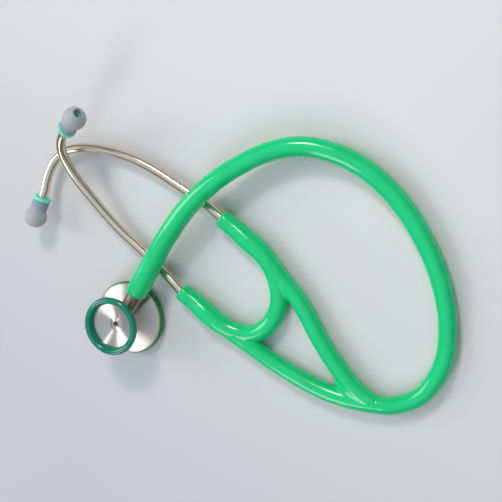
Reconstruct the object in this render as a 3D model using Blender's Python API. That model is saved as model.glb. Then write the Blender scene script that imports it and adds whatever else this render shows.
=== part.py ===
"""Double-headed acoustic stethoscope, lying on a table with its diaphragm side down.

A turned steel chestpiece (bell above, diaphragm below) swivels on a valve stem. A
soft PVC main tube runs from the stem round to a moulded fork, whose two legs and
spring-loaded web carry two arms. A bent steel ear tube plugs into each arm and ends
in a screw-on insert and a soft ear tip.

Lengths are in millimetres until a mesh is finished, and +Z is up.
"""

import math

import bmesh
import bpy
from mathutils import Matrix, Vector

MM = 0.001
GAP = 0.3

# Place of the part's origin, seen from the chestpiece axis: the middle of the box
# round everything but the free main tube.
ORIGIN = Vector((47.16, 43.56, 0.0))

# Chestpiece: steel body, bell ring, diaphragm and its snap-on rim
STEM_HEIGHT = 15.5
STEM_DIRECTION = Vector((0.563, 0.827, 0.0)).normalized()
DISH_R = 22.0
SPIGOT_R = 20.7
COLUMN_R = 7.0
SOUND_HOLE_R = 1.5
STEM_BORE_R = 3.7
STEM_BORE_BACK = -4.3
BELL_LIP_R = 15.4
BELL_LIP_HALF = 0.45
BELL_LIP_TOP = 26.9
WELL_R = 4.9
RING_SECTION_R = 2.35
RING_Z = 26.6
RIM_R = 23.0
RIM_LIP_R = 19.0
DIAPHRAGM_R = 20.7
DIAPHRAGM_Z = (1.2, 1.6)

# Valve stem, its seal and its ball detent
SPIGOT_END = -3.6
STEM_SPIGOT_R = 3.4
STEM_SHOULDER = (7.3, 17.8)
STEM_SHOULDER_R = 5.05
BARB_CORE_R = 2.9
BARB_R = 3.5
BARB_TIPS = (23.0, 28.0, 33.0)
STEM_TIP = 33.6
STEM_LUMEN_R = 1.5
SEAL_AT = 5.5
SEAL_MEAN_R = 2.95
SEAL_SECTION_R = 0.5
DETENT_AT = 2.4
DETENT_HOLE_R = 1.1
BALL_R = 0.8
DETENT_GROOVE = (0.9, 2.45)

# Soft tubing: cuff on the stem, main tube, fork and arms
CUFF_SPAN = (19.5, 35.5)
CUFF_MOUTH_R = 6.9
CUFF_BORE_R = 3.9
MAIN_R = 5.8
MAIN_STEP = 10.0
LEG_R = 5.25
TRUNK_R = 5.1
WEB_R = 5.3
KNUCKLE_R = 5.6
ARM_R = 5.75
ARM_SETBACK = 3.8
LUMEN_R = 2.2
SOCKET_R = 3.2
SOCKET_DEPTH = 18.0
SPRING_THICK = 1.2
SPRING_TALL = 7.0
SPRING_END_TRIM = 6.0

# Ear tubes, inserts and ear tips
EAR_R = 2.9
EAR_BORE_R = 2.3
EAR_PLUG = 17.0
EAR_STEP = 4.5
INSERT_FLANGE_R = 5.85
INSERT_FLANGE = 2.5
INSERT_BARREL_R = 4.2
INSERT_BARREL = 10.5
INSERT_SOCKET = 6.0
INSERT_HOLE_R = 1.9
TIP_NECK_R = 5.6
TIP_BULB_R = 7.4
TIP_BULB_AT = 11.4
TIP_BULB_TURNS = (32, 50, 68, 86, 104, 122)
TIP_HOLE_R = 2.5
TIP_LENGTH = 18.9

# Free main tube: the last point is the fork's trunk, the first is the cuff's end
MAIN_ROUTE = [
    (20.2, 29.6, 15.5), (26.4, 39.6, 16.6), (32.1, 49.6, 17.0), (38.6, 58.3, 17.0),
    (51.7, 73.8, 17.0), (67.2, 86.3, 16.6), (83.5, 96.2, 15.1), (100.4, 103.3, 12.7),
    (118.1, 105.7, 10.2), (135.3, 102.6, 8.1), (151.0, 95.0, 6.7), (164.4, 84.3, 6.2),
    (175.6, 71.4, 5.85), (184.4, 56.9, 5.85), (191.4, 41.5, 5.8), (196.0, 25.0, 5.7),
    (197.9, 7.7, 5.6), (195.7, -10.2, 5.5), (187.4, -26.7, 5.4), (180.5, -33.3, 5.35),
    (172.1, -37.6, 5.3), (160.3, -39.6, 5.25),
]
TRUNK_DIRECTION = Vector((1.0, 0.0, 0.0))
SQUARE_END = 4.0

# Fork: both legs start at their knuckle and end in the trunk
LEG_ROUTES = {
    "left": [
        (74.0, -4.8, 5.7), (80.0, -9.0, 5.5), (86.6, -14.0, 5.25), (94.6, -19.1, 5.25),
        (107.0, -25.8, 5.25), (119.8, -31.8, 5.25), (132.0, -36.2, 5.25),
        (142.0, -38.6, 5.25), (150.0, -39.6, 5.25), (157.0, -39.6, 5.25),
    ],
    "right": [
        (100.5, 31.5, 5.7), (105.5, 25.5, 5.5), (111.0, 19.8, 5.25), (117.0, 11.6, 5.25),
        (123.0, 0.0, 5.25), (130.2, -12.1, 5.25), (137.0, -21.5, 5.25),
        (144.0, -30.0, 5.25), (150.0, -36.0, 5.25), (160.0, -39.6, 5.25),
    ],
}
WEB_ROUTE = [
    (80.5, -9.2, 5.45), (85.5, -4.6, 5.45), (91.0, -0.2, 5.45), (95.8, 4.6, 5.45),
    (98.8, 9.0, 5.45), (100.6, 14.0, 5.45), (102.6, 19.5, 5.45), (106.0, 25.0, 5.45),
]
CROTCH_ROUTE = [
    (150.0, -37.5, 5.25), (144.0, -33.6, 5.25), (139.0, -30.7, 5.25), (135.5, -28.8, 5.25),
    (133.3, -27.6, 5.25),
]
CROTCH_RADII = (5.0, 5.0, 4.6, 3.4, 1.6)
ARM_ROUTES = {
    "left": [
        (74.0, -4.8, 5.75), (67.5, -1.4, 5.75), (60.5, 2.9, 5.75), (51.0, 9.6, 5.75),
        (37.0, 20.3, 5.75),
    ],
    "right": [
        (100.5, 31.5, 5.75), (97.0, 37.4, 5.75), (92.5, 43.0, 5.75), (81.5, 53.8, 5.75),
        (66.5, 65.0, 5.75),
    ],
}

# Ear tubes: bent past the arm's mouth, ending in the collar of the insert
EAR_ROUTES = {
    "left": [
        (17.5, 37.8, 5.9), (-2.0, 56.2, 6.6), (-13.9, 71.7, 8.6), (-21.9, 83.7, 11.6),
        (-27.1, 96.6, 15.6), (-29.5, 104.1, 18.6), (-29.3, 109.3, 21.2),
    ],
    "right": [
        (56.6, 72.2, 5.7), (37.9, 82.3, 5.6), (20.8, 91.4, 5.5), (7.4, 98.3, 5.5),
        (-4.2, 102.4, 5.6), (-13.2, 104.5, 5.8), (-21.6, 105.8, 6.1), (-28.5, 105.8, 6.6),
        (-35.6, 103.9, 7.2), (-41.4, 99.9, 8.0), (-45.5, 94.8, 9.1), (-48.2, 89.6, 10.3),
    ],
}
COLLARS = {"left": (-18.7, 120.7, 27.8), "right": (-53.8, 74.0, 12.9)}
TIP_DIRECTIONS = {"left": (0.736, 0.342, 0.584), "right": (-0.397, -0.913, 0.099)}


def clear_scene():
    for existing in list(bpy.data.objects):
        bpy.data.objects.remove(existing, do_unlink=True)


def finish(name, colour, roughness, metallic=0.0):
    """Principled material with one colour."""
    material = bpy.data.materials.new(name)
    material.use_nodes = True
    shader = material.node_tree.nodes["Principled BSDF"]
    shader.inputs["Base Color"].default_value = (*colour, 1.0)
    shader.inputs["Roughness"].default_value = roughness
    shader.inputs["Metallic"].default_value = metallic
    material.diffuse_color = (*colour, 1.0)
    return material


def pivot(name, place, parent=None):
    """Empty on a joint axis. It carries the pieces that turn there."""
    empty = bpy.data.objects.new(name, None)
    bpy.context.collection.objects.link(empty)
    empty.location = (Vector(place) - ORIGIN) * MM
    if parent is not None:
        empty.location = empty.location - parent.location
        empty.parent = parent
    return empty


def world_place(empty):
    """Where a pivot stands, in metres."""
    place = Vector((0.0, 0.0, 0.0))
    while empty is not None:
        place += empty.location
        empty = empty.parent
    return place


def add(name, mesh, material, on=None):
    """Named object for one piece, with its own origin on the joint axis that carries it."""
    mesh.name = name
    mesh.transform(Matrix.Translation(-world_place(on)))
    mesh.materials.clear()
    mesh.materials.append(material)
    mesh.shade_smooth()
    mesh.set_sharp_from_angle(angle=math.radians(35))
    piece = bpy.data.objects.new(name, mesh)
    bpy.context.collection.objects.link(piece)
    piece.parent = on
    return piece


def guide(name, mesh):
    """Hidden shape that is only added to, or cut out of, a piece."""
    shape = bpy.data.objects.new(name, mesh)
    bpy.context.collection.objects.link(shape)
    shape.hide_render = True
    shape.display_type = "WIRE"
    return shape


def combine(piece, operation, shapes):
    """Boolean modifiers that add the guides to a piece, or cut them out of it."""
    for shape in shapes:
        boolean = piece.modifiers.new(shape.name, "BOOLEAN")
        boolean.operation = operation
        boolean.solver = "EXACT"
        boolean.object = shape


def to_mesh(shape_bm, place=None):
    """Mesh in metres, in the part's frame, from a bmesh in millimetres."""
    if place is not None:
        bmesh.ops.transform(shape_bm, matrix=place, verts=shape_bm.verts)
    bmesh.ops.translate(shape_bm, vec=-ORIGIN, verts=shape_bm.verts)
    bmesh.ops.scale(shape_bm, vec=(MM, MM, MM), verts=shape_bm.verts)
    mesh = bpy.data.meshes.new("shape")
    shape_bm.to_mesh(mesh)
    shape_bm.free()
    return mesh


def along(start, direction):
    """Frame whose Z runs along direction from start."""
    turn = Vector((0.0, 0.0, 1.0)).rotation_difference(Vector(direction))
    return Matrix.Translation(Vector(start)) @ turn.to_matrix().to_4x4()


def turned(profile, sides, place=None, closed=True):
    """Solid turned about Z from (radius, height) points.

    An open profile starts and ends on the axis."""
    shape = bmesh.new()
    verts = [shape.verts.new((radius, 0.0, height)) for radius, height in profile]
    edges = [shape.edges.new(pair) for pair in zip(verts, verts[1:])]
    if closed:
        edges.append(shape.edges.new((verts[-1], verts[0])))
    bmesh.ops.spin(
        shape, geom=verts + edges, cent=(0, 0, 0), axis=(0, 0, 1),
        angle=2 * math.pi, steps=sides, use_merge=True,
    )
    bmesh.ops.remove_doubles(shape, verts=shape.verts, dist=0.0005)
    bmesh.ops.recalc_face_normals(shape, faces=shape.faces)
    return to_mesh(shape, place)


def rod(start, direction, length, radius, sides=20):
    """Plain round bar from start along direction, for bores."""
    profile = [(0.0, length), (radius, length), (radius, 0.0), (0.0, 0.0)]
    return turned(profile, sides, along(start, direction), closed=False)


def ball(centre, radius, sides=24, rings=14):
    """Sphere as a turned half circle."""
    steps = [math.pi * i / rings for i in range(rings + 1)]
    profile = [(radius * math.sin(a), radius * math.cos(a)) for a in steps]
    return turned(profile, sides, Matrix.Translation(Vector(centre)), closed=False)


def smooth(route, step):
    """Evenly spaced points on a smooth curve through the route's own points."""
    points = [Vector(p) for p in route]
    points = [2 * points[0] - points[1], *points, 2 * points[-1] - points[-2]]
    fine = []
    pieces = 24
    for before, a, b, after in zip(points, points[1:], points[2:], points[3:]):
        for i in range(pieces):
            t = i / pieces
            fine.append(0.5 * (
                2 * a + (b - before) * t
                + (2 * before - 5 * a + 4 * b - after) * t ** 2
                + (3 * a - before - 3 * b + after) * t ** 3
            ))
    fine.append(points[-2])
    lengths = [0.0]
    for a, b in zip(fine, fine[1:]):
        lengths.append(lengths[-1] + (b - a).length)
    count = max(2, round(lengths[-1] / step))
    even = []
    at = 0
    for i in range(count + 1):
        wanted = lengths[-1] * i / count
        while at < len(fine) - 2 and lengths[at + 1] < wanted:
            at += 1
        share = (wanted - lengths[at]) / max(lengths[at + 1] - lengths[at], 1e-9)
        even.append(fine[at].lerp(fine[at + 1], min(max(share, 0.0), 1.0)))
    return even


def sweep_curve(name, points, radii, resolution):
    """Round tube on a POLY spline, in the part's frame, with filled caps."""
    curve = bpy.data.curves.new(name, "CURVE")
    curve.dimensions = "3D"
    curve.bevel_depth = MM
    curve.bevel_resolution = resolution
    curve.use_fill_caps = True
    spline = curve.splines.new("POLY")
    spline.points.add(len(points) - 1)
    for knot, point, radius in zip(spline.points, points, radii):
        knot.co = (*((point - ORIGIN) * MM), 1.0)
        knot.radius = radius
    spline.use_smooth = True
    return curve


def swept(points, radii, resolution=5):
    """Round tube along points as a closed mesh."""
    curve = sweep_curve("sweep", points, radii, resolution)
    carrier = bpy.data.objects.new("sweep", curve)
    bpy.context.collection.objects.link(carrier)
    evaluated = carrier.evaluated_get(bpy.context.evaluated_depsgraph_get())
    mesh = bpy.data.meshes.new_from_object(evaluated)
    bpy.data.objects.remove(carrier, do_unlink=True)
    bpy.data.curves.remove(curve)
    return mesh


def strip(points, thick, tall):
    """Upright flat strip that follows points, thick across and tall in Z."""
    shape = bmesh.new()
    sides = ([], [])
    for i, point in enumerate(points):
        ahead = points[min(i + 1, len(points) - 1)] - points[max(i - 1, 0)]
        across = Vector((-ahead.y, ahead.x, 0.0)).normalized() * thick / 2
        low = point - Vector((0.0, 0.0, tall / 2))
        sides[0].append(shape.verts.new(low + across))
        sides[1].append(shape.verts.new(low - across))
    base = shape.faces.new(sides[0] + sides[1][::-1])
    raised = bmesh.ops.extrude_face_region(shape, geom=[base])
    top = [v for v in raised["geom"] if isinstance(v, bmesh.types.BMVert)]
    bmesh.ops.translate(shape, vec=(0.0, 0.0, tall), verts=top)
    bmesh.ops.recalc_face_normals(shape, faces=shape.faces)
    return to_mesh(shape)


def on_stem(distance):
    """Point on the stem axis, measured from the chestpiece axis."""
    return STEM_DIRECTION * distance + Vector((0.0, 0.0, STEM_HEIGHT))


def chestpiece(on):
    """Steel body turned in one piece, the soft rings on it and the diaphragm."""
    lip_in = BELL_LIP_R - BELL_LIP_HALF
    lip_out = BELL_LIP_R + BELL_LIP_HALF
    body_profile = [
        (lip_out, BELL_LIP_TOP), (lip_out, 24.0), (15.3, 22.9), (12.8, 21.4),
        (9.8, 20.1), (7.8, 18.8), (COLUMN_R, 17.2), (COLUMN_R, 12.6),
        (7.5, 11.4), (9.0, 10.4), (14.0, 8.8), (19.0, 7.2), (21.4, 6.4),
        (DISH_R, 5.9), (DISH_R, 5.0), (SPIGOT_R, 5.0), (SPIGOT_R, 1.9),
        (18.8, 1.9), (17.8, 3.0), (8.0, 4.6), (3.0, 5.5),
        (SOUND_HOLE_R, 6.3), (SOUND_HOLE_R, 20.4), (WELL_R - 0.4, 20.4),
        (WELL_R, 20.8), (WELL_R, 22.3), (WELL_R + 0.4, 22.6), (9.5, 23.1),
        (lip_in - 0.5, 23.8), (lip_in, 24.2), (lip_in, BELL_LIP_TOP),
    ]
    body = add("chestpiece_body", turned(body_profile, 44), STEEL, on)
    across = Vector((0.0, 0.0, 1.0)).cross(STEM_DIRECTION)
    stem_bore = rod(on_stem(STEM_BORE_BACK), STEM_DIRECTION, 20.0, STEM_BORE_R, 24)
    detent_bore = rod(on_stem(DETENT_AT), across, 10.0, DETENT_HOLE_R, 12)
    seat = rod(on_stem(COLUMN_R), STEM_DIRECTION, 12.0, STEM_SHOULDER_R + GAP, 24)
    combine(body, "DIFFERENCE", [
        guide("stem_bore", stem_bore),
        guide("stem_seat", seat),
        guide("detent_bore", detent_bore),
    ])

    slot = BELL_LIP_HALF + GAP
    lowest = math.asin(slot / RING_SECTION_R)
    turns = [lowest + (2 * math.pi - 2 * lowest) * i / 14 for i in range(15)]
    ring_profile = [
        (BELL_LIP_R - RING_SECTION_R * math.sin(a), RING_Z - RING_SECTION_R * math.cos(a))
        for a in turns
    ]
    slot_floor = BELL_LIP_TOP + GAP
    ring_profile += [(BELL_LIP_R + slot, slot_floor), (BELL_LIP_R - slot, slot_floor)]
    add("bell_ring", turned(ring_profile, 40), TEAL, on)

    grip = SPIGOT_R + GAP + 0.05
    lip_top = DIAPHRAGM_Z[0] - GAP
    rim_profile = [
        (grip, 4.7), (22.2, 4.7), (22.8, 4.3), (RIM_R, 3.6), (RIM_R, 1.2), (22.6, 0.35),
        (21.9, 0.0), (RIM_LIP_R + 0.6, 0.0), (RIM_LIP_R, 0.3), (RIM_LIP_R, lip_top),
        (grip, lip_top),
    ]
    add("diaphragm_rim", turned(rim_profile, 44), DARK_GREEN, on)
    low, high = DIAPHRAGM_Z
    disc_profile = [(0.0, high), (DIAPHRAGM_R, high), (DIAPHRAGM_R, low), (0.0, low)]
    add("diaphragm", turned(disc_profile, 44, closed=False), MEMBRANE, on)
    detent(on, across)


def detent(on, across):
    """Ball, spring and plug in the side of the column. The ball clicks in the stem's groove."""
    start = on_stem(DETENT_AT)
    ball_reach = STEM_SPIGOT_R + BALL_R
    add("detent_ball", ball(start + across * STEM_SPIGOT_R, BALL_R, 12, 8), STEEL, on)
    spring_low = ball_reach + GAP
    spring_high = spring_low + 0.95
    sleeve = [(0.78, spring_high), (0.78, spring_low), (0.42, spring_low), (0.42, spring_high)]
    add("detent_spring", turned(sleeve, 12, along(start, across)), STEEL, on)
    plug_low = spring_high + GAP
    plug = [(0.0, 6.55), (0.8, 6.55), (0.8, plug_low), (0.0, plug_low)]
    add("detent_plug", turned(plug, 12, along(start, across), closed=False), STEEL, on)


def stem():
    """Valve stem: spigot in the column, shoulder, and the barb inside the tubing."""
    groove_half, groove_floor = DETENT_GROOVE
    seal_half = SEAL_SECTION_R + GAP
    seal_floor = SEAL_MEAN_R - seal_half
    shoulder_in, shoulder_out = STEM_SHOULDER
    lumen_end = SPIGOT_END + 1.8
    profile = [(0.0, lumen_end), (STEM_LUMEN_R, lumen_end)]
    profile += [(STEM_LUMEN_R, STEM_TIP), (BARB_CORE_R - 0.3, STEM_TIP)]
    for tip in reversed(BARB_TIPS):
        profile += [(BARB_R, tip - 2.2), (BARB_R, tip - 2.8), (BARB_CORE_R, tip - 2.9)]
        if tip != BARB_TIPS[0]:
            profile += [(BARB_CORE_R, tip - 4.9)]
    profile += [
        (BARB_CORE_R, shoulder_out), (STEM_SHOULDER_R - 0.5, shoulder_out),
        (STEM_SHOULDER_R, shoulder_out - 0.5), (STEM_SHOULDER_R, shoulder_in + 0.5),
        (STEM_SHOULDER_R - 0.5, shoulder_in), (STEM_SPIGOT_R, shoulder_in),
        (STEM_SPIGOT_R, SEAL_AT + seal_half), (seal_floor, SEAL_AT + seal_half),
        (seal_floor, SEAL_AT - seal_half), (STEM_SPIGOT_R, SEAL_AT - seal_half),
        (STEM_SPIGOT_R, DETENT_AT + groove_half + 0.3), (groove_floor, DETENT_AT + groove_half),
        (groove_floor, DETENT_AT - groove_half), (STEM_SPIGOT_R, DETENT_AT - groove_half - 0.3),
        (STEM_SPIGOT_R, SPIGOT_END + 0.4), (STEM_SPIGOT_R - 0.4, SPIGOT_END), (0.0, SPIGOT_END),
    ]
    axis_frame = along(on_stem(0.0), STEM_DIRECTION)
    piece = add("stem", turned(profile, 24, axis_frame, closed=False), STEEL)
    port = rod(on_stem(0.0), (0.0, 0.0, -1.0), 6.0, SOUND_HOLE_R - 0.1, 14)
    combine(piece, "DIFFERENCE", [guide("sound_port", port)])
    seal = [
        (SEAL_MEAN_R + SEAL_SECTION_R * math.cos(a), SEAL_AT - SEAL_SECTION_R * math.sin(a))
        for a in (2 * math.pi * i / 8 for i in range(8))
    ]
    add("stem_seal", turned(seal, 20, axis_frame), BLACK)


def tubing_cuff():
    """Thick end of the tubing, stretched over the stem's barb."""
    near, far = CUFF_SPAN
    profile = [
        (CUFF_BORE_R, far), (MAIN_R + 0.05, far), (MAIN_R + 0.1, near + 13.0),
        (MAIN_R + 0.5, near + 8.0), (CUFF_MOUTH_R - 0.1, near + 4.5), (CUFF_MOUTH_R, near + 2.2),
        (CUFF_MOUTH_R - 0.3, near + 0.9), (CUFF_MOUTH_R - 1.0, near + 0.2),
        (CUFF_MOUTH_R - 1.8, near), (CUFF_BORE_R, near),
    ]
    add("tube_cuff", turned(profile, 24, along(on_stem(0.0), STEM_DIRECTION)), GREEN)


def main_tube():
    """Free soft tube from the cuff to the fork, thinner towards the fork."""
    points = smooth(MAIN_ROUTE, MAIN_STEP)
    points[0] = on_stem(CUFF_SPAN[1] + GAP)
    points.insert(1, points[0] + STEM_DIRECTION * SQUARE_END)
    points.insert(-1, points[-1] + TRUNK_DIRECTION * SQUARE_END)
    last = len(points) - 1
    thin_from = 0.62
    radii = []
    for i in range(last + 1):
        share = max(0.0, (i / last - thin_from) / (1.0 - thin_from))
        radii.append(MAIN_R + (TRUNK_R - 0.05 - MAIN_R) * min(1.0, 1.6 * share))
    piece = bpy.data.objects.new("main_tube", sweep_curve("main_tube", points, radii, 4))
    bpy.context.collection.objects.link(piece)
    piece.data.materials.append(GREEN)
    length = sum((b - a).length for a, b in zip(points, points[1:]))
    print("main tube length mm", round(length, 1))


def rounded_start(points, radius):
    """Points and radii that give a swept tube a half-round start."""
    back = (points[0] - points[1]).normalized()
    reaches = [0.995, 0.9, 0.7, 0.4]
    extra = [points[0] + back * radius * reach for reach in reaches]
    thin = [radius * math.sqrt(1.0 - reach ** 2) for reach in reaches]
    return extra, thin


def fork():
    """Moulded fork: two legs that join in the trunk, the spring web and two knuckles."""
    legs = {}
    for side, route in LEG_ROUTES.items():
        points = smooth(route, 4.0)
        points[-2] = points[-1] - TRUNK_DIRECTION * SQUARE_END
        extra, thin = rounded_start(points, KNUCKLE_R)
        radii = []
        for i in range(len(points)):
            ease = min(1.0, i / 3.0)
            radii.append(KNUCKLE_R + (LEG_R - KNUCKLE_R) * ease)
        radii[-1] = TRUNK_R
        legs[side] = swept(extra + points, thin + radii)
    web_points = smooth(WEB_ROUTE, 3.0)
    web = swept(web_points, [WEB_R] * len(web_points))
    piece = add("tubing_fork", legs["right"], GREEN)
    combine(piece, "UNION", [
        guide("left_leg", legs["left"]),
        guide("spring_web", web),
        guide("crotch_fillet", swept([Vector(p) for p in CROTCH_ROUTE], CROTCH_RADII, 3)),
    ])
    slot = strip(web_points, SPRING_THICK + 2 * GAP, SPRING_TALL + 2 * GAP)
    cutters = [guide("spring_slot", slot)]
    for side, route in LEG_ROUTES.items():
        points = smooth(route, 5.0)
        back = (points[0] - points[1]).normalized()
        beyond = points[-1] + (points[-1] - points[-2]).normalized() * 4.0
        ends = [points[0] + back * 8.0, *points] + ([beyond] if side == "right" else [])
        cutters.append(guide(side + "_leg_lumen", swept(ends, [LUMEN_R] * len(ends), 2)))
    combine(piece, "DIFFERENCE", cutters)
    spring_points = [
        point for point in web_points
        if min((point - web_points[0]).length, (point - web_points[-1]).length) > SPRING_END_TRIM
    ]
    add("leaf_spring", strip(spring_points, SPRING_THICK, SPRING_TALL), STEEL)


def arm(side, on):
    """Soft arm: cupped end round the fork's knuckle, rounded mouth, socket for the ear tube."""
    route = [Vector(p) for p in ARM_ROUTES[side]]
    points = smooth(route, 4.5)
    heading = (points[1] - points[0]).normalized()
    points[0] = points[0] + heading * ARM_SETBACK
    mouth = points[-1]
    out = (route[-1] - route[-2]).normalized()
    points = points[:-1] + [mouth - out * 1.8, mouth - out * 0.6, mouth]
    radii = [ARM_R] * (len(points) - 3) + [ARM_R - 0.1, ARM_R - 0.7, ARM_R - 1.6]
    piece = add(side + "_arm", swept(points, radii), GREEN, on)
    inner = smooth(route, 5.0)
    lumen = [p for p in inner if (p - mouth).length > SOCKET_DEPTH - 4.0]
    floor = mouth - out * SOCKET_DEPTH
    combine(piece, "DIFFERENCE", [
        guide(side + "_cup", ball(route[0], KNUCKLE_R + GAP, 24, 14)),
        guide(side + "_socket", rod(floor, out, SOCKET_DEPTH + 5.0, SOCKET_R, 16)),
        guide(side + "_lumen", swept(lumen, [LUMEN_R] * len(lumen), 2)),
    ])
    return mouth, out


def ear_tube(side, mouth, out, on):
    """Bent steel tube from the arm's socket to the insert."""
    tip_axis = Vector(TIP_DIRECTIONS[side]).normalized()
    collar = Vector(COLLARS[side])
    end = collar + tip_axis * (INSERT_SOCKET - INSERT_FLANGE - GAP)
    inside = mouth - out * EAR_PLUG
    straight = [collar - tip_axis * 6.0, collar - tip_axis * 3.0, collar, end]
    route = [inside, mouth - out * 8.0, mouth, *EAR_ROUTES[side], *straight]
    points = smooth(route, EAR_STEP)
    tube = add(side + "_ear_tube", swept(points, [EAR_R] * len(points), 4), STEEL, on)
    ahead = (points[-1] - points[-2]).normalized()
    behind = (points[0] - points[1]).normalized()
    bore = [points[0] + behind * 3.0, *points, points[-1] + ahead * 3.0]
    lining = swept(bore, [EAR_BORE_R] * len(bore), 2)
    combine(tube, "DIFFERENCE", [guide(side + "_ear_bore", lining)])


def ear_tip(side, on):
    """Hard flanged insert on the tube's end, and the soft mushroom tip over its barrel."""
    frame = along(COLLARS[side], Vector(TIP_DIRECTIONS[side]).normalized())
    bore = EAR_R + GAP
    insert = [
        (INSERT_HOLE_R, INSERT_BARREL), (INSERT_BARREL_R - 0.4, INSERT_BARREL),
        (INSERT_BARREL_R, INSERT_BARREL - 0.4), (INSERT_BARREL_R, 0.0), (INSERT_FLANGE_R - 0.5, 0.0),
        (INSERT_FLANGE_R, -0.5), (INSERT_FLANGE_R, 0.5 - INSERT_FLANGE),
        (INSERT_FLANGE_R - 0.5, -INSERT_FLANGE), (bore, -INSERT_FLANGE),
        (bore, INSERT_SOCKET - INSERT_FLANGE), (INSERT_HOLE_R, INSERT_SOCKET - INSERT_FLANGE),
    ]
    add(side + "_tip_insert", turned(insert, 24, frame), MINT, on)
    pocket = INSERT_BARREL_R + GAP
    tip = [(TIP_HOLE_R, TIP_LENGTH - 0.4), (TIP_HOLE_R + 0.5, TIP_LENGTH)]
    for turn in TIP_BULB_TURNS:
        reach = math.radians(turn)
        tip.append((TIP_BULB_R * math.sin(reach), TIP_BULB_AT + TIP_BULB_R * math.cos(reach)))
    tip += [
        (TIP_NECK_R + 0.15, 6.2), (TIP_NECK_R, 4.6), (TIP_NECK_R, 0.8), (TIP_NECK_R - 0.4, GAP),
        (pocket, GAP), (pocket, INSERT_BARREL + GAP), (TIP_HOLE_R, INSERT_BARREL + GAP),
    ]
    add(side + "_ear_tip", turned(tip, 24, frame), GREY, on)


clear_scene()

STEEL = finish("polished_steel", (0.62, 0.58, 0.52), 0.18, 1.0)
GREEN = finish("emerald_pvc", (0.02, 0.56, 0.22), 0.22)
DARK_GREEN = finish("rim_pvc", (0.03, 0.2, 0.05), 0.35)
TEAL = finish("bell_ring_pvc", (0.02, 0.32, 0.24), 0.3)
MINT = finish("insert_plastic", (0.2, 0.83, 0.6), 0.3)
GREY = finish("silicone", (0.3, 0.33, 0.35), 0.55)
MEMBRANE = finish("diaphragm_laminate", (0.6, 0.62, 0.6), 0.3)
BLACK = finish("seal_rubber", (0.02, 0.02, 0.02), 0.6)

chestpiece(pivot("chestpiece_pivot", on_stem(0.0)))
stem()
tubing_cuff()
main_tube()
fork()
for side in ("left", "right"):
    arm_pivot = pivot(side + "_arm_pivot", ARM_ROUTES[side][0])
    arm_mouth, arm_out = arm(side, arm_pivot)
    ear_pivot = pivot(side + "_ear_pivot", arm_mouth, arm_pivot)
    ear_tube(side, arm_mouth, arm_out, ear_pivot)
    ear_tip(side, ear_pivot)
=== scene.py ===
import math
import bmesh
import bpy
from mathutils import Matrix, Vector


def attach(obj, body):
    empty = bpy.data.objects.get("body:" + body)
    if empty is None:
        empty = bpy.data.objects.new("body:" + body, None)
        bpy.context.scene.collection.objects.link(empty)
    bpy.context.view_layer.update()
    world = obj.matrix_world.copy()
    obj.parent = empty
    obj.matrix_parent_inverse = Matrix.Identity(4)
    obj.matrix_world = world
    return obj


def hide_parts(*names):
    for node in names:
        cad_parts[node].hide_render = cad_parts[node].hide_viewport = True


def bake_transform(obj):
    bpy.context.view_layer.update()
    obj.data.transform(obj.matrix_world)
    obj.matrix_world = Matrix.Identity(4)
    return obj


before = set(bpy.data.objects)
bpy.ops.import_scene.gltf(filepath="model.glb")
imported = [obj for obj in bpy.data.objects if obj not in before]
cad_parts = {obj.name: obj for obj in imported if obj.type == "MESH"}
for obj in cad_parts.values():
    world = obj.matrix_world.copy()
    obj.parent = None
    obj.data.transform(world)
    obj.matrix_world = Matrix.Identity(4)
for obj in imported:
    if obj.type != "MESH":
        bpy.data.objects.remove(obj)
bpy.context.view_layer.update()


# Camera: held by hand above the table, beyond the loop of the tubing, and looking back
# across it. Its place comes from the diaphragm rim and the bell ring, two circles of
# known size on one axis.
def linked(name, data):
    """Object with this data, added to the scene."""
    made = bpy.data.objects.new(name, data)
    bpy.context.collection.objects.link(made)
    return made


camera_lens = bpy.data.cameras.new("camera")
camera_lens.lens = 64.54
camera_lens.sensor_width = 36.0
camera = linked("camera", camera_lens)
camera_right = (0.916, -0.037, -0.400)
camera_up = (-0.037, 0.984, -0.175)
camera_back = (0.400, 0.175, 0.900)
camera.rotation_mode = "QUATERNION"
camera.rotation_quaternion = Matrix((camera_right, camera_up, camera_back)).transposed().to_quaternion()
camera.location = (0.24562, 0.09288, 0.47318)
bpy.context.scene.camera = camera


# Main tube: the long free run of the tubing, extruded soft PVC with a glossy skin. Its end
# is stretched over the stem's barbs, where it is thicker, and the other end is one with
# the fork. It lies in one open loop on the table, from the raised stem down to the fork.
MILLIMETRE = 0.001
ORIGIN = Vector((47.16, 43.56, 0.0))
STEM_HEIGHT = 15.5
STEM_DIRECTION = Vector((0.563, 0.827, 0.0)).normalized()


def placed(point):
    """Point of the part in metres, from millimetres seen from the chestpiece axis."""
    return (Vector(point) - ORIGIN) / 1000.0


def on_stem(distance):
    """Point on the stem axis in millimetres, measured from the chestpiece axis."""
    return STEM_DIRECTION * distance + Vector((0.0, 0.0, STEM_HEIGHT))


def linear(hex_colour):
    """Linear colour with alpha from an sRGB hex value."""
    parts = [int(hex_colour[i:i + 2], 16) / 255.0 for i in (1, 3, 5)]
    return (*[p / 12.92 if p <= 0.04045 else ((p + 0.055) / 1.055) ** 2.4 for p in parts], 1.0)


def add_node(tree, kind, inputs=None, **settings):
    """Node with its settings. An input is a value, or the socket that feeds it."""
    made = tree.nodes.new(kind)
    for name, value in settings.items():
        setattr(made, name, value)
    for socket, value in (inputs or {}).items():
        if isinstance(value, bpy.types.NodeSocket):
            tree.links.new(value, made.inputs[socket])
        else:
            made.inputs[socket].default_value = value
    return made


def new_material(name, **constants):
    """Principled material with its constant sockets set. Returns it with its tree and shader."""
    material = bpy.data.materials.new(name)
    material.use_nodes = True
    shader = material.node_tree.nodes["Principled BSDF"]
    for socket, value in constants.items():
        shader.inputs[socket.replace("_", " ")].default_value = value
    return material, material.node_tree, shader


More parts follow.
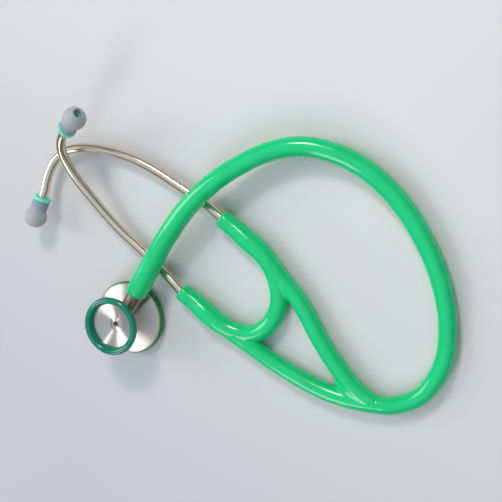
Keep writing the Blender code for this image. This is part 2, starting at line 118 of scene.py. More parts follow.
def object_place(tree):
    """Place on the object, in metres of the part's frame."""
    return add_node(tree, "ShaderNodeTexCoord").outputs["Object"]


def noise(tree, place, size, detail):
    """Noise value with features of this size in metres."""
    made = add_node(tree, "ShaderNodeTexNoise", {"Vector": place, "Scale": 1 / size, "Detail": detail})
    return made.outputs["Fac"]


def ranged(tree, value, lowest, highest, begin=0.3, end=0.7, **settings):
    """Value from lowest to highest, while the given one goes from begin to end."""
    made = add_node(tree, "ShaderNodeMapRange", {
        "Value": value, "From Min": begin, "From Max": end, "To Min": lowest, "To Max": highest,
    }, **settings)
    return made.outputs["Result"]


def mixed(tree, share, first, second):
    """Colour between two others, each an sRGB hex value or a socket."""
    ends = [linear(end) if isinstance(end, str) else end for end in (first, second)]
    made = add_node(tree, "ShaderNodeMix", {"Factor": share, "A": ends[0], "B": ends[1]}, data_type="RGBA")
    return made.outputs["Result"]


def dress(tree, shader, colour, roughness, relief=None, strength=0.0, depth=0.0):
    """Feeds a shader its colour and roughness, and a relief of this depth in metres if it has one."""
    tree.links.new(colour, shader.inputs["Base Color"])
    tree.links.new(roughness, shader.inputs["Roughness"])
    if relief is not None:
        bump = add_node(tree, "ShaderNodeBump", {"Height": relief, "Strength": strength, "Distance": depth})
        tree.links.new(bump.outputs["Normal"], shader.inputs["Normal"])


def moulded_pvc(name, deep, bright, gloss, translucency):
    """Soft PVC from a polished mould: wet gloss, slightly cloudy colour and a faint orange peel.

    The peel of about 0.7 mm is drawn at 1.6 mm so that it shows in the render."""
    material, tree, shader = new_material(
        name, IOR=1.53, Subsurface_Weight=translucency, Subsurface_Scale=0.0015,
        Subsurface_Radius=(0.3, 1.0, 0.6),
    )
    place = object_place(tree)
    tint = add_node(tree, "ShaderNodeValToRGB", {"Fac": noise(tree, place, 0.014, 3.0)})
    for number, (position, colour) in enumerate([(0.35, deep), (0.65, bright)]):
        tint.color_ramp.elements[number].position = position
        tint.color_ramp.elements[number].color = linear(colour)
    wear = ranged(tree, noise(tree, place, 0.006, 4.0), gloss, gloss + 0.05)
    peel = noise(tree, place, 0.0016, 1.0)
    dress(tree, shader, tint.outputs["Color"], wear, peel, strength=0.03, depth=0.0001)
    return material


tubing_pvc = moulded_pvc("tubing_pvc", "#02CF7F", "#06D787", 0.11, 0.12)

CUFF_MOUTH = 21.5
CUFF_LEAN = Vector((-0.024, 0.012, 0.0))
LEAN_BEFORE_MOUTH = 10.0
TRUNK_END = Vector((160.3, -39.6, 5.25))
cuff_swell = [
    (0.0, 5.0), (0.1, 5.55), (0.35, 5.95), (0.9, 6.3), (1.8, 6.55), (4.0, 6.7), (8.0, 6.75), (13.0, 6.7),
    (18.0, 6.58),
]
cuff_knots = [
    (on_stem(CUFF_MOUTH + gone) + CUFF_LEAN * (gone + LEAN_BEFORE_MOUTH), radius)
    for gone, radius in cuff_swell
]
loop_knots = [
    (25.9, 39.7, 15.7, 6.35), (32.3, 49.2, 16.3, 6.18), (39.0, 57.8, 16.8, 6.12), (45.6, 65.9, 17.0, 6.02),
    (52.4, 73.2, 17.0, 5.9), (67.5, 85.9, 16.6, 5.75), (83.8, 95.7, 15.1, 5.65), (100.5, 102.8, 12.7, 5.6),
    (118.1, 105.5, 10.2, 5.75), (135.2, 102.4, 8.1, 5.75), (151.0, 95.0, 6.7, 5.75), (164.5, 84.4, 6.1, 5.75),
    (175.7, 71.5, 5.75, 5.7), (184.7, 57.0, 5.65, 5.6), (191.7, 41.6, 5.55, 5.5), (196.3, 25.1, 5.4, 5.35),
    (198.2, 7.7, 5.25, 5.2), (196.2, -10.3, 5.15, 5.15), (187.9, -27.0, 5.05, 5.05),
    (180.8, -33.8, 5.05, 5.05), (172.1, -37.7, 5.1, 5.08),
]
trunk_swell = [(4.0, 5.12), (0.0, 5.08), (-3.0, 4.98)]
trunk_knots = [(TRUNK_END + Vector((before, 0.0, 0.0)), radius) for before, radius in trunk_swell]
tube_knots = cuff_knots + [(knot[:3], knot[3]) for knot in loop_knots] + trunk_knots
tube_curve = bpy.data.curves.new("soft_main_tube", "CURVE")
tube_curve.dimensions = "3D"
tube_curve.bevel_depth = MILLIMETRE
tube_curve.bevel_resolution = 10
tube_curve.use_fill_caps = True
tube_curve.resolution_u = 10
tube_line = tube_curve.splines.new("BEZIER")
tube_line.radius_interpolation = "CARDINAL"
tube_line.bezier_points.add(len(tube_knots) - 1)
for knot, (point, radius) in zip(tube_line.bezier_points, tube_knots):
    knot.co = placed(point)
    knot.radius = radius
    knot.handle_left_type = "AUTO"
    knot.handle_right_type = "AUTO"
tube_curve.materials.append(tubing_pvc)
main_tube = linked("soft_main_tube", tube_curve)
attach(main_tube, "tubing")
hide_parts("main_tube", "tube_cuff")


# Fork and arms: one soft PVC moulding with the main tube. A bent leaf spring lies inside the
# U that runs from arm to arm, and the two legs leave the U's outer side and meet in the
# trunk. The arms end in rounded mouths, whose sockets grip the ear tubes.
LEG_R = 5.25
WEB_R = 5.35
MOUTH_R = 5.6
SOCKET_R = 2.95
SOCKET_DEPTH = 15.0
PAST_MOUTH = 5.0
SWEEP_STEP = 1.5
VOXEL = 0.00045
KNUCKLES = {"left": Vector((74.0, -4.8, 5.75)), "right": Vector((100.5, 31.5, 5.75))}
MOUTHS = {"left": Vector((38.27, 19.33, 5.75)), "right": Vector((67.22, 64.46, 5.75))}
MOUTH_WAYS = {
    "left": Vector((-14.0, 10.7, 0.0)).normalized(),
    "right": Vector((-15.0, 11.2, 0.0)).normalized(),
}
ARM_HEADINGS = {
    "left": Vector((-0.886, 0.463, 0.0)).normalized(),
    "right": Vector((-0.51, 0.86, 0.0)).normalized(),
}


def rounded_route(route, step):
    """Closely spaced (point, radius) pairs on a smooth curve through (x, y, z, radius) knots."""
    knots = [Vector(k) for k in route]
    knots = [2 * knots[0] - knots[1], *knots, 2 * knots[-1] - knots[-2]]
    gaps = [(b - a).xyz.length for a, b in zip(knots, knots[1:])]
    leans = [
        (b - a) / near + (c - b) / far - (c - a) / (near + far)
        for a, b, c, near, far in zip(knots, knots[1:], knots[2:], gaps, gaps[1:])
    ]
    fine = []
    for a, b, lean_a, lean_b, gap in zip(knots[1:], knots[2:], leans, leans[1:], gaps[1:]):
        count = max(2, round(gap / step))
        for i in range(count):
            t = i / count
            fine.append(
                a * (2 * t ** 3 - 3 * t ** 2 + 1) + lean_a * gap * (t ** 3 - 2 * t ** 2 + t)
                + b * (3 * t ** 2 - 2 * t ** 3) + lean_b * gap * (t ** 3 - t ** 2)
            )
    fine.append(knots[-2])
    return [(f.xyz, f.w) for f in fine]


def swept(route, step, roundness=10):
    """Closed round tube through (x, y, z, radius) knots, as a mesh in the part's frame."""
    pairs = rounded_route(route, step)
    curve = bpy.data.curves.new("sweep", "CURVE")
    curve.dimensions = "3D"
    curve.bevel_depth = MILLIMETRE
    curve.bevel_resolution = roundness
    curve.use_fill_caps = True
    line = curve.splines.new("POLY")
    line.points.add(len(pairs) - 1)
    for knot, (point, radius) in zip(line.points, pairs):
        knot.co = (*placed(point), 1.0)
        knot.radius = radius
    carrier = linked("sweep", curve)
    mesh = settled(carrier)
    bpy.data.objects.remove(carrier)
    bpy.data.curves.remove(curve)
    return mesh


def settled(carrier):
    """Mesh of an object with its modifiers applied."""
    now = bpy.context.evaluated_depsgraph_get()
    return bpy.data.meshes.new_from_object(carrier.evaluated_get(now))


def along(start, direction):
    """Frame in millimetres whose Z runs along direction from start."""
    turn = Vector((0.0, 0.0, 1.0)).rotation_difference(Vector(direction))
    return Matrix.Translation(Vector(start)) @ turn.to_matrix().to_4x4()


FINE_TURN = 128
SMALL_TURN = 64
LATHE_UNIT = 50.0
MERGE_GAP = 0.0005
ON_AXIS = 1e-4


def turned(profile, steps, place, closed=True):
    """Mesh turned about Z from (radius, height) points in millimetres, then set in its place.

    An open profile starts and ends on the axis. The UV map "lathe" has u down the profile, in
    units of LATHE_UNIT, and v round the axis."""
    shape = bmesh.new()
    reach = shape.verts.layers.float.new("reach")
    verts = []
    gone = 0.0
    for i, (radius, height) in enumerate(profile):
        if i:
            gone += math.dist(profile[i - 1], profile[i])
        vert = shape.verts.new((radius, 0.0, height))
        vert[reach] = gone / LATHE_UNIT
        verts.append(vert)
    edges = [shape.edges.new(pair) for pair in zip(verts, verts[1:])]
    if closed:
        edges.append(shape.edges.new((verts[-1], verts[0])))
    bmesh.ops.spin(
        shape, geom=verts + edges, cent=(0, 0, 0), axis=(0, 0, 1),
        angle=2 * math.pi, steps=steps, use_merge=True,
    )
    bmesh.ops.remove_doubles(shape, verts=shape.verts, dist=MERGE_GAP)
    bmesh.ops.recalc_face_normals(shape, faces=shape.faces)
    lathe = shape.loops.layers.uv.new("lathe")
    for face in shape.faces:
        middle = face.calc_center_median().xy
        for loop in face.loops:
            spoke = loop.vert.co.xy
            off_axis = min(spoke.length, middle.length) > ON_AXIS
            swing = middle.angle_signed(spoke, 0.0) if off_axis else 0.0
            turn = math.atan2(middle.y, middle.x) - swing
            loop[lathe].uv = (loop.vert[reach], turn / (2 * math.pi))
    bmesh.ops.transform(shape, matrix=place, verts=shape.verts)
    bmesh.ops.translate(shape, vec=-ORIGIN, verts=shape.verts)
    bmesh.ops.scale(shape, vec=(MILLIMETRE,) * 3, verts=shape.verts)
    mesh = bpy.data.meshes.new("turning")
    shape.to_mesh(mesh)
    shape.free()
    return mesh


def bored(carrier, drills):
    """Mesh of an object after its modifiers, with the drills' shapes cut out."""
    cutters = []
    for mesh in drills:
        cutter = linked("drill", mesh)
        cut = carrier.modifiers.new("drill", "BOOLEAN")
        cut.operation = "DIFFERENCE"
        cut.solver = "EXACT"
        cut.object = cutter
        cutters.append(cutter)
    mesh = settled(carrier)
    for cutter in cutters:
        bpy.data.objects.remove(cutter)
    return mesh


def drill(start, direction, depth, radius, steps=48):
    """Round bar in millimetres, for cutting a hole."""
    profile = [(0.0, depth), (radius, depth), (radius, 0.0), (0.0, 0.0)]
    return turned(profile, steps, along(start, direction), closed=False)


def add_piece(name, mesh, material, slot, *nodes, crease=None):
    """Smooth-shaded object that stands for these CAD nodes. Edges over crease degrees stay sharp."""
    mesh.name = name
    mesh.materials.clear()
    mesh.materials.append(material)
    mesh.shade_smooth()
    if crease is not None:
        mesh.set_sharp_from_angle(angle=math.radians(crease))
    piece = linked(name, mesh)
    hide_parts(*nodes)
    return piece


def mouth_end(side):
    """Knots of a rounded mouth, from the arm outwards."""
    mouth, way = MOUTHS[side], MOUTH_WAYS[side]
    drops = [(5.0, 0.0), (2.2, 0.0), (1.3, 0.1), (0.65, 0.35), (0.2, 0.8), (0.0, 1.4)]
    return [(*(mouth - way * back), MOUTH_R - less) for back, less in drops]


u_route = mouth_end("left")[::-1] + [
    (46.9, 13.3, 5.75, 5.65), (50.1, 10.6, 5.95, 5.9), (53.9, 7.4, 6.25, 6.2), (58.5, 3.9, 6.2, 6.15),
    (63.4, 0.7, 6.0, 5.95), (68.0, -1.6, 5.8, 5.75), (72.9, -3.2, 5.65, 5.55), (81.5, -4.3, 5.5, 5.45),
    (90.4, -1.2, 5.45, 5.45), (96.8, 4.9, 5.45, 5.45), (100.4, 12.1, 5.45, WEB_R),
    (101.5, 19.6, 5.5, WEB_R), (101.1, 26.2, 5.65, 5.5), (99.3, 33.2, 5.72, 5.65), (97.0, 37.7, 5.75, 5.75),
    (93.7, 42.6, 5.9, 5.85), (90.2, 46.3, 6.1, 6.05), (86.4, 49.6, 6.25, 6.2), (82.2, 52.8, 6.2, 6.1),
    (77.7, 56.4, 5.9, 5.85), (74.3, 59.1, 5.75, 5.65),
] + mouth_end("right")
leg_routes = {
    "left": [
        (59.0, 3.6, 5.7, 4.7), (66.3, -1.6, 5.7, 5.2), (73.7, -5.8, 5.65, 5.4), (79.8, -9.6, 5.5, 5.3),
        (86.6, -14.1, 5.35, LEG_R), (94.6, -19.1, 5.25, LEG_R), (107.0, -25.8, 5.25, LEG_R),
        (119.8, -31.8, 5.25, LEG_R), (132.0, -36.1, 5.25, LEG_R), (142.0, -38.2, 5.25, LEG_R),
        (150.0, -39.2, 5.25, 5.2), (157.0, -39.6, 5.25, 5.12), (160.3, -39.6, 5.25, 5.08),
        (163.3, -39.6, 5.25, 4.98),
    ],
    "right": [
        (92.0, 45.2, 5.7, 4.7), (97.2, 38.9, 5.7, 5.2), (102.0, 32.0, 5.65, 5.4), (106.8, 26.1, 5.5, 5.3),
        (112.1, 19.8, 5.35, LEG_R), (117.4, 11.6, 5.25, LEG_R), (123.3, 0.1, 5.25, LEG_R),
        (130.5, -11.9, 5.25, LEG_R), (137.3, -21.3, 5.25, LEG_R), (144.4, -29.7, 5.35, 5.4),
        (150.6, -35.4, 5.35, 5.35), (157.0, -38.9, 5.25, 5.0),
    ],
}
crotch_route = [
    (151.4, -37.5, 5.25, 5.0), (145.4, -33.6, 5.25, 5.0), (140.4, -30.7, 5.25, 4.6),
    (136.9, -28.8, 5.25, 3.4), (134.7, -27.6, 5.25, 1.6),
]
moulding = bmesh.new()
for route in (u_route, leg_routes["left"], leg_routes["right"], crotch_route):
    moulding.from_mesh(swept(route, SWEEP_STEP))
moulding_mesh = bpy.data.meshes.new("moulding")
moulding.to_mesh(moulding_mesh)
moulding.free()
moulding_form = linked("moulding", moulding_mesh)
fuse = moulding_form.modifiers.new("fuse", "REMESH")
fuse.mode = "VOXEL"
fuse.voxel_size = VOXEL
fillet = moulding_form.modifiers.new("fillet", "SMOOTH")
fillet.factor = 0.5
fillet.iterations = 4
sockets = [
    drill(MOUTHS[side] - way * SOCKET_DEPTH, way, depth=SOCKET_DEPTH + PAST_MOUTH, radius=SOCKET_R)
    for side, way in MOUTH_WAYS.items()
]
fused = bmesh.new()
fused.from_mesh(bored(moulding_form, sockets))
bpy.data.objects.remove(moulding_form)

BEND_BEHIND = 0.009
CUT_REACH = 0.022
ARM_REACH = 0.0125
LEFT_ARM_KNOTS = 14
RIGHT_ARM_KNOTS = 15
ARM_LINE_STEP = 3.0
share = fused.faces.layers.int.new("share")
arm_lines = {
    "left": [placed(point) for point, _ in rounded_route(u_route[:LEFT_ARM_KNOTS], ARM_LINE_STEP)],
    "right": [placed(point) for point, _ in rounded_route(u_route[-RIGHT_ARM_KNOTS:], ARM_LINE_STEP)],
}
for number, side in enumerate(KNUCKLES, start=1):
    heading = ARM_HEADINGS[side]
    cut = placed(KNUCKLES[side]) - heading * BEND_BEHIND
    near = [f for f in fused.faces if (f.calc_center_median() - cut).length < CUT_REACH]
    around = near + list({e for f in near for e in f.edges}) + list({v for f in near for v in f.verts})
    bmesh.ops.bisect_plane(fused, geom=around, dist=1e-7, plane_co=cut, plane_no=heading)
    for face in fused.faces:
        middle = face.calc_center_median()
        ahead = (middle - cut).dot(heading) > 0.0
        if ahead and min((middle - point).length for point in arm_lines[side]) < ARM_REACH:
            face[share] = number
for number, (name, node) in enumerate(
    [("soft_fork", "tubing_fork"), ("soft_left_arm", "left_arm"), ("soft_right_arm", "right_arm")]
):
    own = fused.copy()
    own_share = own.faces.layers.int["share"]
    bmesh.ops.delete(own, geom=[f for f in own.faces if f[own_share] != number], context="FACES")
    mesh = bpy.data.meshes.new(name)
    own.to_mesh(mesh)
    own.free()
    piece = add_piece(name, mesh, tubing_pvc, "tubing_pvc", node)
    if number == 0:
        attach(piece, "tubing")
        continue
    side = list(KNUCKLES)[number - 1]
    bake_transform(piece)
fused.free()


# Valve stem: turned stainless steel. Its spigot swivels in the chestpiece, its shoulder shows
# between the column and the tubing, and its barbs sit inside the tubing's end.
def turned_steel(name, tone, worn, finish):
    """Stainless steel straight from the lathe: feed marks ring the axis, so highlights fan out.

    Feed marks of about 0.1 mm are drawn at 0.5 mm so that they show in the render."""
    material, tree, shader = new_material(name, Metallic=1.0, Anisotropic=0.95)
    lathe = add_node(tree, "ShaderNodeUVMap", uv_map="lathe").outputs["UV"]
    down = add_node(tree, "ShaderNodeSeparateXYZ", {"Vector": lathe}).outputs["X"]
    marks = add_node(
        tree, "ShaderNodeTexNoise", {"W": down, "Scale": LATHE_UNIT / 0.5, "Detail": 3.0},
        noise_dimensions="1D",
    ).outputs["Fac"]
    film = mixed(tree, noise(tree, object_place(tree), 0.005, 4.0), tone, worn)
    grain = ranged(tree, marks, finish, finish + 0.04, begin=0.25, end=0.75)
    dress(tree, shader, film, grain, marks, strength=0.03, depth=0.00002)
    grooves = add_node(tree, "ShaderNodeTangent", direction_type="UV_MAP", uv_map="lathe")
    tree.links.new(grooves.outputs["Tangent"], shader.inputs["Tangent"])
    return material


# The stem's steel is a darker, warmer copy of the body's: painted shade for its place between the bell ring
# and the tubing, and painted reflection of the dark ring and warm surroundings.
stem_steel_painted_shade = turned_steel("drawn_dull_steel", "#A89C90", "#9A8E82", 0.42)
stem_profile = [
    (0.0, 33.6), (2.5, 33.6), (2.9, 33.2), (3.5, 30.6), (3.5, 30.2), (2.9, 30.1), (2.9, 28.0), (3.5, 25.6),
    (3.5, 25.2), (2.9, 25.1), (2.9, 21.9), (4.75, 21.9), (5.0, 21.65), (5.05, 21.3), (5.05, 8.1),
    (4.95, 7.6), (4.7, 7.35), (3.4, 7.3), (3.4, -3.2), (3.0, -3.6), (0.0, -3.6),
]
stem = add_piece(
    "turned_stem", turned(stem_profile, SMALL_TURN, along(on_stem(0.0), STEM_DIRECTION), closed=False),
    stem_steel_painted_shade, "turned_steel", "stem",
)
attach(stem, "tubing")


# Chestpiece body: stainless steel turned in one piece. A wide dish carries the diaphragm below,
# a narrow column holds the stem, and a thin-lipped shallow bell stands on top. A low boss in
# the middle of the bell rings the sound hole.
body_profile = [
    (15.85, 26.5), (15.85, 24.4), (15.75, 23.7), (15.3, 22.9), (14.2, 22.15), (12.8, 21.4), (11.2, 20.7),
    (9.8, 20.05), (8.6, 19.4), (7.8, 18.7), (7.25, 17.9), (7.0, 17.0), (7.0, 12.9), (7.1, 12.2),
    (7.45, 11.5), (8.1, 10.9), (9.0, 10.45), (10.2, 10.0), (14.0, 8.8), (19.0, 7.2), (21.3, 6.45),
    (21.75, 6.2), (22.0, 5.85), (22.0, 5.15), (21.85, 5.0), (20.7, 5.0), (20.7, 1.9), (18.8, 1.9),
    (17.8, 3.0), (8.0, 4.6), (3.0, 5.5), (1.6, 6.3), (1.6, 21.1), (1.7, 21.4), (1.95, 21.55), (2.4, 21.5),
    (3.3, 21.2), (3.9, 20.95), (4.15, 20.9), (4.6, 20.95), (7.0, 21.6), (9.5, 22.35), (12.5, 23.3),
    (14.2, 23.85), (14.75, 24.1), (14.95, 24.6), (14.95, 26.5), (15.1, 26.8), (15.4, 26.9), (15.7, 26.8),
]
steel = turned_steel("turned_steel", "#E0DAD2", "#D6CFC6", 0.33)
DETENT_AT = 2.4
across_stem = Vector((0.0, 0.0, 1.0)).cross(STEM_DIRECTION)
body_form = linked("body", turned(body_profile, FINE_TURN, Matrix.Identity(4)))
body_mesh = bored(body_form, [
    drill(on_stem(-4.3), STEM_DIRECTION, depth=20.0, radius=3.7),
    drill(on_stem(7.0), STEM_DIRECTION, depth=12.0, radius=5.35),
    drill(on_stem(DETENT_AT), across_stem, depth=10.0, radius=1.1, steps=24),
])
bpy.data.objects.remove(body_form)
body = add_piece("turned_body", body_mesh, steel, "turned_steel", "chestpiece_body", crease=40)
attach(body, "chestpiece")


# Bell ring and diaphragm rim: soft PVC rings that are stretched on. The teal ring takes the
# chill off the bell's lip, and the darker rim snaps over the dish and holds the diaphragm.
ring_profile = [
    (17.8, 26.2), (17.9, 26.8), (17.88, 27.4), (17.7, 27.95), (17.35, 28.4), (16.85, 28.75), (16.25, 28.95),
    (15.65, 28.95), (15.05, 28.75), (14.5, 28.35), (14.1, 27.85), (13.8, 27.25), (13.55, 26.5), (13.4, 25.7),
    (13.35, 24.9), (13.45, 24.25), (13.75, 23.85), (14.25, 23.95), (14.7, 24.15), (14.93, 24.65),
    (14.93, 26.45), (15.1, 26.78), (15.4, 26.88), (15.7, 26.78), (15.83, 26.5), (15.83, 24.6), (16.1, 24.4),
    (16.6, 24.55), (17.1, 24.85), (17.5, 25.35),
]
ring_pvc = moulded_pvc("bell_ring_pvc", "#007D66", "#048B73", 0.06, 0.05)
bell_ring = add_piece(
    "soft_bell_ring", turned(ring_profile, FINE_TURN, Matrix.Identity(4)),
    ring_pvc, "ring_pvc", "bell_ring",
)
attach(bell_ring, "chestpiece")

rim_profile = [
    (21.05, 4.75), (21.9, 4.75), (22.4, 4.68), (22.75, 4.5), (22.95, 4.15), (22.95, 3.7), (22.75, 2.4),
    (22.45, 1.2), (22.25, 0.75), (22.0, 0.4), (21.6, 0.15), (21.1, 0.02), (20.6, 0.0), (19.7, 0.0),
    (19.3, 0.08), (19.05, 0.3), (19.0, 0.55), (19.1, 0.85), (19.4, 0.9), (21.05, 0.9),
]
rim_pvc = moulded_pvc("diaphragm_rim_pvc", "#0C761C", "#128426", 0.22, 0.05)
rim = add_piece(
    "soft_diaphragm_rim", turned(rim_profile, FINE_TURN, Matrix.Identity(4)),
    rim_pvc, "rim_pvc", "diaphragm_rim",
)
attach(rim, "chestpiece")


# Ear tubes: thin steel tube, drawn, bent cold and plated bright. One end is pushed into the
# arm's socket, and the other carries the ear tip's insert.
EAR_R = 2.9
EAR_ROUNDNESS = 14
INSIDE_SOCKET = (14.0, 8.0, 0.0)
THROUGH_COLLAR = (-6.0, -3.0, 0.0, 3.2)
COLLARS = {"left": Vector((-19.7, 119.0, 28.6)), "right": Vector((-53.8, 74.0, 12.9))}
TIP_WAYS = {
    "left": Vector((0.762, 0.491, 0.421)).normalized(),
    "right": Vector((-0.397, -0.913, 0.099)).normalized(),
}
ear_routes = {
    "left": [
        (31.9, 25.5, 5.4), (21.2, 34.5, 4.7), (10.7, 43.9, 4.8), (0.3, 53.1, 5.7), (-9.6, 63.6, 7.1),
        (-18.7, 75.4, 9.4), (-25.0, 84.7, 11.9), (-28.3, 90.9, 13.8), (-30.2, 96.9, 16.2),
        (-30.9, 101.7, 18.5), (-30.5, 105.9, 20.9), (-28.9, 109.9, 23.2),
    ],
    "right": [
        (56.4, 73.0, 5.7), (45.9, 79.4, 5.7), (35.5, 85.6, 5.6), (25.0, 91.7, 5.5), (14.4, 96.9, 5.5),
        (3.5, 100.9, 5.5), (-7.5, 103.7, 5.6), (-18.7, 105.4, 5.9), (-27.0, 105.8, 6.4), (-34.5, 104.7, 7.1),
        (-40.3, 102.0, 7.7), (-44.8, 97.9, 8.6), (-47.8, 92.7, 9.7), (-49.8, 87.0, 10.9),
    ],
}


def plated_tube():
    """Bright nickel plating on drawn tube: soft gloss with faint marks and a warm cast.

    Handling marks of a few tenths of a millimetre are drawn at 1.5 mm so that they show."""
    material, tree, shader = new_material("plated_tube", Metallic=1.0)
    place = object_place(tree)
    tone = mixed(tree, noise(tree, place, 0.018, 2.0), "#E6DCCA", "#DACEB8")
    marks = noise(tree, place, 0.0015, 5.0)
    dress(tree, shader, tone, ranged(tree, marks, 0.17, 0.25), marks, strength=0.03, depth=0.00002)
    return material


plating = plated_tube()
for side, bends in ear_routes.items():
    mouth, way = MOUTHS[side], MOUTH_WAYS[side]
    collar, tip_way = COLLARS[side], TIP_WAYS[side]
    line = [mouth - way * back for back in INSIDE_SOCKET] + bends
    line += [collar + tip_way * past for past in THROUGH_COLLAR]
    tube = add_piece(
        side + "_plated_tube", swept([(*point, EAR_R) for point in line], SWEEP_STEP, EAR_ROUNDNESS),
        plating, "bright_steel", side + "_ear_tube", crease=50,
    )
    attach(tube, side + "_ear")


# Ear tips: a hard mint insert is screwed on the tube's end, with a flange that shows as a thin
# collar. A soft grey silicone bulb is pulled over its barrel and has a sound hole at the end.
def insert_plastic():
    """Glossy moulded plastic, clear mint: a little light passes through, so its colour glows."""
    material, tree, shader = new_material(
        "mint_plastic", IOR=1.49, Subsurface_Weight=0.25, Subsurface_Scale=0.001,
        Subsurface_Radius=(0.4, 1.0, 0.9),
    )
    flow = noise(tree, object_place(tree), 0.004, 2.0)
    dress(tree, shader, mixed(tree, flow, "#74EBCB", "#86F2D6"), ranged(tree, flow, 0.22, 0.32))
    return material


def tip_silicone(name, collar, way):
    """Matt grey silicone, slightly cloudy: the mint insert shows through the thin neck.

    Its dusty grain of about 0.2 mm is drawn at 0.8 mm so that it shows in the render."""
    material, tree, shader = new_material(
        name, IOR=1.42, Subsurface_Weight=0.2, Subsurface_Scale=0.0012,
        Subsurface_Radius=(1.0, 1.0, 1.0),
    )
    place = object_place(tree)
    own = add_node(tree, "ShaderNodeMapping", {
        "Vector": place, "Location": placed(collar), "Rotation": along((0, 0, 0), way).to_euler(),
    }, vector_type="TEXTURE")
    height = add_node(tree, "ShaderNodeSeparateXYZ", {"Vector": own.outputs["Vector"]}).outputs["Z"]
    neck = ranged(tree, height, 0.0, 1.0, begin=0.003, end=0.0085, interpolation_type="SMOOTHSTEP")
    tone = mixed(tree, neck, "#8CA2AE", "#B2B5BA")
    grain = noise(tree, place, 0.0008, 3.0)
    dusty = mixed(tree, ranged(tree, grain, 0.0, 0.08), tone, "#C4C4C2")
    dress(tree, shader, dusty, ranged(tree, grain, 0.42, 0.56), grain, strength=0.08, depth=0.00005)
    return material


BULB_R = 6.9
BULB_AT = 11.4
insert_profile = [
    (1.6, 14.6), (2.2, 14.6), (2.5, 14.3), (2.6, 13.8), (2.6, 10.5), (4.2, 10.2), (4.2, 0.1), (5.2, 0.1),
    (5.5, 0.0), (5.65, -0.3), (5.65, -1.9), (5.55, -2.1), (5.3, -2.2), (3.3, -2.2), (3.0, -2.1), (3.0, 3.5),
    (1.6, 4.5),
]
bulb_turns = [math.radians(28 + 6 * i) for i in range(16)]
tip_profile = [(2.7, 16.4), (2.72, 17.05), (2.85, 17.4), (3.05, 17.55)]
tip_profile += [(BULB_R * math.sin(a), BULB_AT + BULB_R * math.cos(a)) for a in bulb_turns]
tip_profile += [
    (5.65, 7.4), (5.4, 6.8), (5.28, 6.0), (5.25, 4.6), (5.25, 0.9), (5.15, 0.5), (4.9, 0.25), (4.3, 0.2),
    (4.3, 10.6), (2.7, 10.8),
]
mint = insert_plastic()
for side in COLLARS:
    end = along(COLLARS[side], TIP_WAYS[side])
    insert = add_piece(
        side + "_mint_insert", turned(insert_profile, SMALL_TURN, end),
        mint, "insert_plastic", side + "_tip_insert", crease=50,
    )
    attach(insert, side + "_ear")
    silicone = tip_silicone(side + "_silicone", COLLARS[side], TIP_WAYS[side])
    tip = add_piece(
        side + "_soft_tip", turned(tip_profile, SMALL_TURN, end),
        silicone, "tip_silicone", side + "_ear_tip", crease=60,
    )
    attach(tip, side + "_ear")


# Hidden work: the diaphragm is a stiff disc of glass-epoxy sheet under the dish. The detent,
# the seal and the leaf spring sit inside other pieces and keep their CAD solids.
def woven_laminate():
    """Glass-epoxy sheet: pale and smooth, with the glass cloth's weave of 1 mm just showing."""
    material, tree, shader = new_material("woven_laminate", IOR=1.55)
    weave = add_node(tree, "ShaderNodeTexChecker", {
        "Vector": object_place(tree), "Scale": 1 / 0.001,
        "Color1": linear("#C9CCC6"), "Color2": linear("#BDC1BA"),
    })
    gloss = ranged(tree, weave.outputs["Fac"], 0.26, 0.34, begin=0.0, end=1.0)
    dress(tree, shader, weave.outputs["Color"], gloss)
    return material


def plain_metal_or_rubber(name, dark, pale, metallic, roughness):
    """Small inner parts: ground spring steel or black rubber, with a fine uneven tone."""
    material, tree, shader = new_material(name, Metallic=metallic)
    grain = noise(tree, object_place(tree), 0.0006, 3.0)
    matt = ranged(tree, grain, roughness, roughness + 0.15, begin=0.0, end=1.0)
    dress(tree, shader, mixed(tree, grain, dark, pale), matt)
    return material


spring_steel = plain_metal_or_rubber("ground_spring_steel", "#8E8E8C", "#A6A6A2", 1.0, 0.3)
seal_rubber = plain_metal_or_rubber("black_seal_rubber", "#161616", "#222222", 0.0, 0.5)
inner_finishes = {
    "diaphragm": woven_laminate(), "detent_ball": spring_steel, "detent_spring": spring_steel,
    "detent_plug": spring_steel, "leaf_spring": spring_steel, "stem_seal": seal_rubber,
}
for node, material in inner_finishes.items():
    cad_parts[node].material_slots[0].material = material
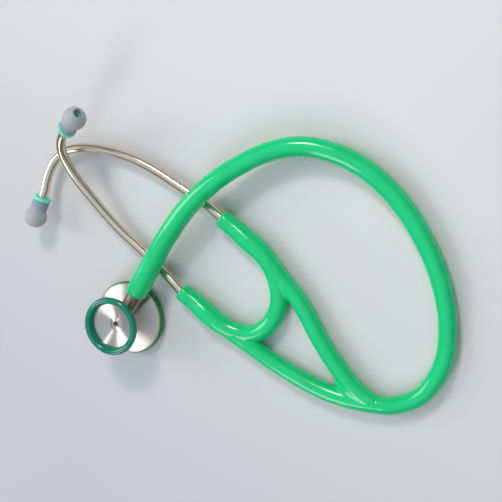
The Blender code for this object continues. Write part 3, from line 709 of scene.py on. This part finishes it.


# Table and light: a pale matt sheet, painted darker towards the lower left as painted shade where the light
# falls off. A soft lamp beyond the top edge throws the shadows downwards, and its bright core draws the white
# lines on the tubing.
# Two windows light the left side.
TABLE_HALF = 2.5
TABLE_TOP = -0.0003
PAINTED_SHADE_TURN = -35
LAMPS_AIM = Vector((0.03, 0.0, 0.0))
table_sheet = bmesh.new()
bmesh.ops.create_grid(table_sheet, x_segments=1, y_segments=1, size=TABLE_HALF)
bmesh.ops.translate(table_sheet, vec=(0.0, 0.0, TABLE_TOP), verts=table_sheet.verts)
table_mesh = bpy.data.meshes.new("table")
table_sheet.to_mesh(table_mesh)
table_sheet.free()
table_paint, table_tree, table_shader = new_material("table_paint", Roughness=0.7)
table_shader.inputs["Specular IOR Level"].default_value = 0.2
table_turned = add_node(table_tree, "ShaderNodeMapping", {
    "Vector": object_place(table_tree), "Rotation": (0.0, 0.0, math.radians(PAINTED_SHADE_TURN)),
})
table_across = add_node(table_tree, "ShaderNodeSeparateXYZ", {"Vector": table_turned.outputs["Vector"]})
# Painted shade: the sheet is darker towards the lower left, standing in for the light falling off there.
painted_shade_share = ranged(table_tree, table_across.outputs["X"], 0.0, 1.0, begin=-0.17, end=0.15)
table_tone_with_painted_shade = mixed(table_tree, painted_shade_share, "#CDCFD1", "#DFDFDF")
table_tree.links.new(table_tone_with_painted_shade, table_shader.inputs["Base Color"])
table_mesh.materials.append(table_paint)
table = linked("table", table_mesh)


def add_lamp(name, way, distance, size, watts, colour):
    """Rectangular soft lamp that faces the middle of the object."""
    light = bpy.data.lights.new(name, "AREA")
    light.shape = "RECTANGLE"
    light.size, light.size_y = size
    light.energy = watts
    light.color = linear(colour)[:3]
    lamp = linked(name, light)
    lamp.location = LAMPS_AIM + Vector(way).normalized() * distance
    lamp.rotation_euler = (lamp.location - LAMPS_AIM).to_track_quat("Z", "Y").to_euler()


add_lamp("top_lamp", (-0.02, 0.71, 0.70), 1.1, (0.3, 0.3), 2.6, "#FFEEDC")
add_lamp("lamp_core", (-0.02, 0.71, 0.70), 1.09, (0.15, 0.15), 1.7, "#FFFFFF")
add_lamp("far_window", (-0.80, 0.24, 0.55), 2.5, (0.9, 1.5), 21.0, "#F4F2F2")
add_lamp("near_window", (-0.386, -0.671, 0.633), 2.5, (0.7, 1.4), 15.0, "#F4F2F2")

room = bpy.data.worlds.new("room")
room.use_nodes = True
bpy.context.scene.world = room
room_tree = room.node_tree
room_back = room_tree.nodes["Background"]
room_way = add_node(room_tree, "ShaderNodeTexCoord").outputs["Generated"]
room_up = add_node(room_tree, "ShaderNodeSeparateXYZ", {"Vector": room_way}).outputs["Z"]
room_tone = add_node(room_tree, "ShaderNodeValToRGB", {"Fac": room_up})
room_ramp = room_tone.color_ramp
room_ramp.elements[0].color = linear("#46392B")
room_ramp.elements[1].color = linear("#CFE2F5")
for height, colour in [(0.45, "#95897A"), (0.75, "#B6BFC8")]:
    room_ramp.elements.new(height).color = linear(colour)
room_tree.links.new(room_tone.outputs["Color"], room_back.inputs["Color"])

bpy.context.scene.view_settings.view_transform = "Standard"
